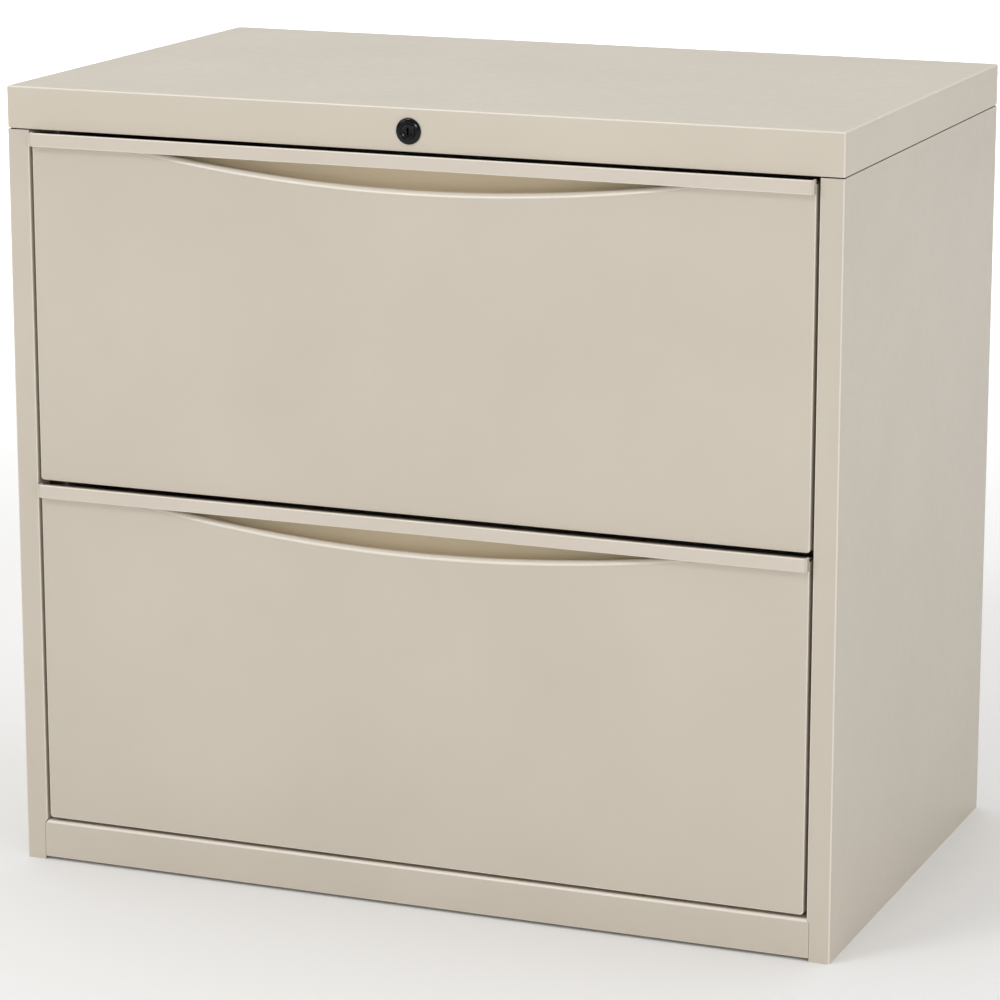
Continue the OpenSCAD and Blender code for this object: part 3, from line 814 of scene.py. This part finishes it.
def make_drawer_front(level):
    """Pan-shaped front. Its face ends in an arc, rolls over into a lip and runs on as a scoop
    for the fingers, up behind the pull strip."""
    low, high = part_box(f"{level}_drawer_front")
    pull_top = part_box(f"{level}_pull")[1].z
    width, height = high.x - low.x, high.z - low.z
    clear_selection()
    bpy.ops.mesh.primitive_grid_add(
        x_subdivisions=112, y_subdivisions=1, size=1,
        location=(0, low.y, (low.z + high.z) / 2), rotation=(QUARTER, 0, 0))
    front = bpy.context.object
    front.scale = (width, height, 1)
    settle_place(front, f"{level}_drawer_front_shell")
    top_edge = high.z - FRONT_TUCK
    for vertex in front.data.vertices:
        if vertex.co.z > low.z + height / 2:
            inside = abs(vertex.co.x) < RECESS_END
            arc = recess_height(vertex.co.x, pull_top) - LIP_RADIUS if inside else top_edge
            vertex.co.z = min(arc, top_edge)
    edit(front)
    scoop_back = high.y - low.y - CASE_SHEET
    lip_end = RECESS_END - 4 * MM
    pick("EDGE", lambda p: p.z > low.z + 0.7 * height and abs(p.x) < lip_end)
    path = lip_and_scoop(scoop_back)
    for (y, z), (next_y, next_z) in zip(path, path[1:]):
        extend((0, next_y - y, next_z - z))
    wall_top = high.z - STRIP_FALL
    heel_top = wall_top - 0.3 * MM
    pick("VERT", lambda p: p.z > heel_top and p.y > low.y + MM and abs(p.x) < RECESS_END)
    bpy.ops.transform.resize(value=(1, 1, 0), center_override=(0, 0, heel_top))
    pick("EDGE", lambda p: near(p.y, low.y + scoop_back) and p.z < wall_top
         and abs(p.x) < lip_end)
    extend((0, 0, 5 * MM))
    bpy.ops.transform.resize(value=(1, 1, 0), center_override=(0, 0, wall_top))
    flange(lambda p: near(abs(p.x), high.x) or near(p.z, low.z), (0, high.y - low.y, 0))
    pick("VERT", lambda p: near(p.z, top_edge) and near(p.y, high.y))
    bpy.ops.transform.translate(value=(0, 0, FRONT_TUCK - STRIP_FALL))
    bend_radius(lambda p: near(abs(p.x), high.x) and near(p.z, low.z), FRONT_CORNER)
    corner = FRONT_CORNER + 0.1 * MM
    bend_radius(lambda p: near(p.y, low.y) and (
        near(abs(p.x), high.x) or near(p.z, low.z)
        or (abs(p.x) > high.x - corner and p.z < low.z + corner)), FRONT_BEND)
    thicken(front, CASE_SHEET)
    smooth(front)
    place(front, f"{level}_drawer", "drawer_paint", f"{level}_drawer_front")
    coat(front, putty_coat)
    # the scoop faces get the warmer tint painted as their shade
    coat_faces(front, scoop_coat_painted_shade_tint, lambda p: abs(p.x) < RECESS_END
               and p.z > low.z + height / 2 and p.y > low.y + 0.85 * LIP_RADIUS)


def make_pull(level):
    """Full-width strip that stands proud of the front, with a rounded top edge and a short
    hem under it to hook the fingers behind."""
    low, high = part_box(f"{level}_pull")
    strip = upright_sheet(f"{level}_pull_strip", (low.x, low.z), (high.x, high.z), low.y)
    edit(strip)
    flange(lambda p: near(p.z, high.z), (0, high.y - low.y, -STRIP_FALL))
    flange(lambda p: near(p.z, low.z), (0, case_front - low.y, 0))
    bend_radius(lambda p: near(p.y, low.y) and near(p.z, high.z), STRIP_TOP_BEND)
    bend_radius(lambda p: near(p.y, low.y) and near(p.z, low.z), STRIP_FOOT_BEND)
    thicken(strip, CASE_SHEET)
    ease_cut_edges(strip)
    smooth(strip)
    place(strip, f"{level}_drawer", "pull_paint", f"{level}_pull")
    # lighter copy of the putty coat: painted light on the strip
    coat(strip, pull_coat_painted_lighter)


def make_pull_end_caps(level):
    """Two thin moulded caps that close the strip's ends."""
    low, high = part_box(f"{level}_pull_end_caps")
    strip_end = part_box(f"{level}_pull")[1].x
    cap = block(f"{level}_right_end_cap", (strip_end, low.y, low.z), high)
    edit(cap)
    bend_radius(lambda p: near(p.y, low.y) and near(p.z, high.z), STRIP_TOP_BEND)
    bend_radius(lambda p: near(p.y, low.y) and near(p.z, low.z), STRIP_FOOT_BEND)
    ease_cut_edges(cap, 0.45 * MM, 60)
    tongue = block(f"{level}_right_cap_tongue",
                   (strip_end - 8 * MM, low.y + 1.3 * MM, low.z + 1.3 * MM),
                   (strip_end + 0.2 * MM, high.y, high.z - STRIP_FALL - 1.5 * MM))
    ease_cut_edges(tongue, 0.4 * MM)
    cap = join_pieces([cap, tongue], f"{level}_right_end_cap")
    other = mirror_piece(cap, f"{level}_left_end_cap")
    caps = join_pieces([cap, other], f"{level}_pull_caps")
    smooth(caps)
    place(caps, f"{level}_drawer", "end_cap_plastic", f"{level}_pull_end_caps")
    coat(caps, cap_nylon)


def make_tray(level):
    """Bottom and sides folded from one sheet, with a safety hem along each top edge."""
    low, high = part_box(f"{level}_tray")
    clear_selection()
    bpy.ops.mesh.primitive_plane_add(
        size=1, location=(0, (low.y + high.y) / 2, low.z), rotation=(math.pi, 0, 0))
    tray = bpy.context.object
    tray.scale = (high.x - low.x, high.y - low.y, 1)
    settle_place(tray, f"{level}_tray_shell")
    edit(tray)
    flange(lambda p: near(abs(p.x), high.x), (0, 0, high.z - low.z))
    for side in (-1, 1):
        flange(lambda p: near(p.x, side * high.x) and near(p.z, high.z), (-side * 7 * MM, 0, 0))
        extend((0, 0, -5 * MM))
    bend_radius(lambda p: near(abs(p.x), high.x) and near(p.z, low.z), 2.5 * MM)
    bend_radius(lambda p: near(abs(p.x), high.x) and near(p.z, high.z), TRAY_BEND)
    bend_radius(lambda p: near(abs(p.x), high.x - 7 * MM) and near(p.z, high.z), TRAY_BEND)
    thicken(tray, TRAY_SHEET)
    smooth(tray)
    place(tray, f"{level}_drawer", "drawer_paint", f"{level}_tray")
    coat(tray, inside_coat)


def make_tray_back(level):
    """Back of the tray, folded forward along its top edge."""
    low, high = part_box(f"{level}_tray_back")
    back = upright_sheet(f"{level}_tray_back_shell", (low.x, low.z), (high.x, high.z), high.y)
    edit(back)
    bpy.ops.mesh.select_all(action="SELECT")
    bpy.ops.mesh.flip_normals()
    flange(lambda p: near(p.z, high.z), (0, low.y - high.y, 0))
    bend_radius(lambda p: near(p.y, high.y) and near(p.z, high.z), TRAY_BEND)
    thicken(back, TRAY_SHEET)
    smooth(back)
    place(back, f"{level}_drawer", "drawer_paint", f"{level}_tray_back")
    coat(back, inside_coat)


# ---- CAD pieces whose shape already shows ----

def coat_cad_nodes():
    """Every CAD piece gets the finish of its material slot."""
    for part in frame["record"]["subparts"]:
        coat(frame["nodes"][part["node"]], FINISHES[part["material_slot"]])


make_camera()
make_studio()
coat_cad_nodes()
make_top_cap()
make_side_panels()
make_back_panel()
make_base_rail()
make_lock()
for drawer_level in ("upper", "lower"):
    make_drawer_front(drawer_level)
    make_pull(drawer_level)
    make_pull_end_caps(drawer_level)
    make_tray(drawer_level)
    make_tray_back(drawer_level)
clear_selection()
